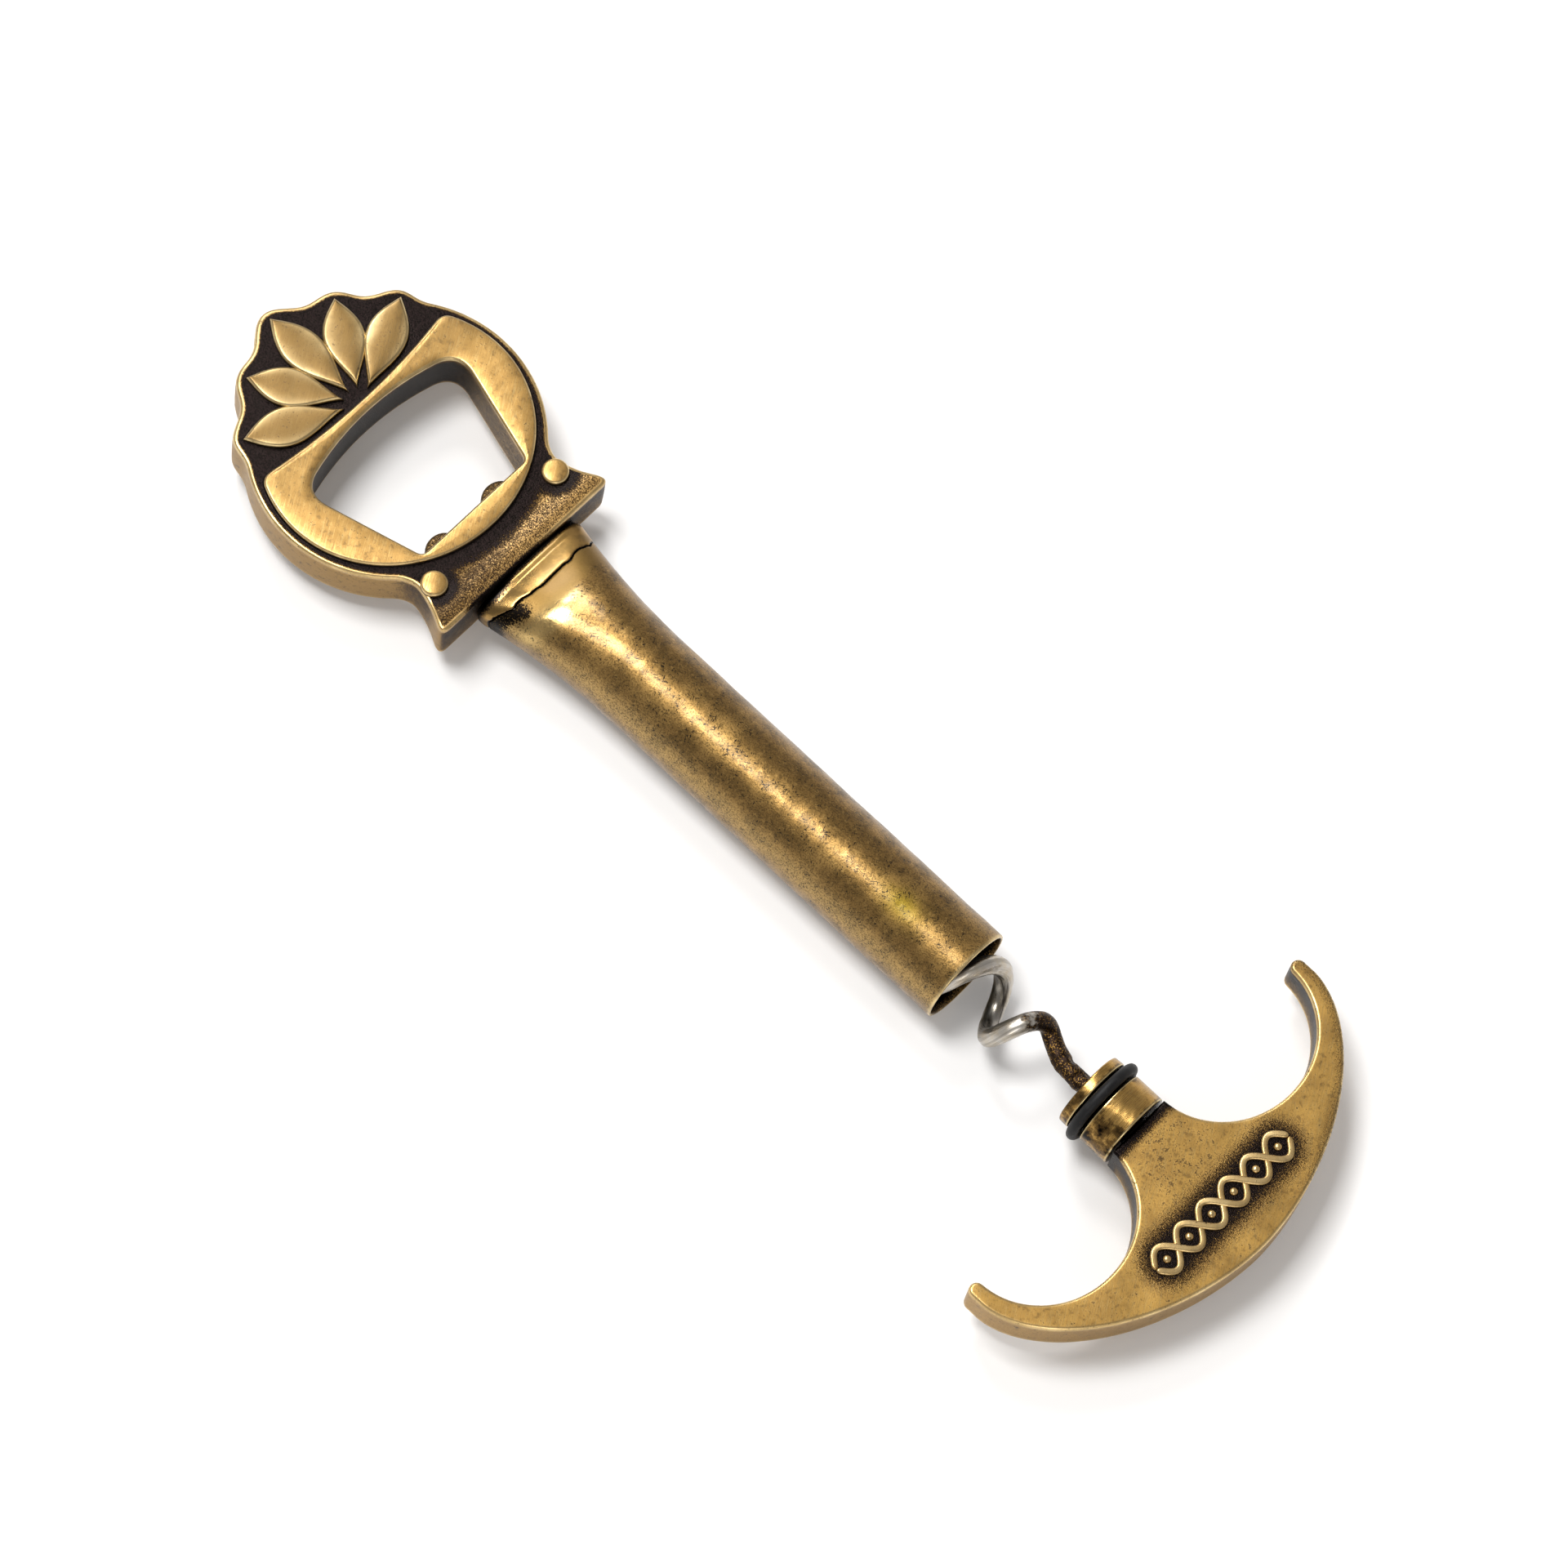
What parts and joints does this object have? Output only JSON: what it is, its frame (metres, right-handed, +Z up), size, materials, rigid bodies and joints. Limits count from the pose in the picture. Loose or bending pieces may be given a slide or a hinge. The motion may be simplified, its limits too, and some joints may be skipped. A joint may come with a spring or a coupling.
{
  "type": "pocket corkscrew and bottle opener",
  "caption": "Antique brass pocket cork puller: an oval bottle opener on a tube sheath, and a steel worm on a finger handle that draws out of the tube.",
  "frame": {"origin": "under the middle of the whole tool as it lies with the corkscrew part drawn, on the surface that the tube lies on", "axes": "+X along the tube's axis from the opener head to the finger handle, which is the way the corkscrew draws out; +Z up, with the raised faces of the head and handle on top; +Y across"},
  "size_m": [0.2046, 0.0724, 0.016],
  "materials": {
    "cast_brass": "cast brass with an antique finish: satin raised faces, black patina in the recesses",
    "tube_brass": "drawn brass tube, mottled brown antique patina, worn smooth",
    "braze": "brazed joint, worn bright with dark pits",
    "turned_brass": "turned brass, worn satin with dark edges",
    "worm_steel": "bare steel wire, drawn and bent, slightly tarnished",
    "ring_rubber": "black moulded rubber, satin"
  },
  "bodies": {
    "opener": {"opener_head": "cast_brass", "tube_sheath": "tube_brass", "braze_bead": "braze"},
    "ring_carrier": {"sealing_ring": "ring_rubber"},
    "corkscrew": {"plug": "turned_brass", "worm": "worm_steel", "finger_handle": "cast_brass"}
  },
  "joints": [
    {"name": "draw_slide", "type": "slide", "parent": "opener", "child": "ring_carrier", "axis": [1, 0, 0], "range_m": [-0.0365, 0.04]},
    {"name": "corkscrew_turn", "type": "hinge", "parent": "ring_carrier", "child": "corkscrew", "pos_m": [0.0703, 0, 0.008], "axis": [1, 0, 0], "continuous": true}
  ]
}
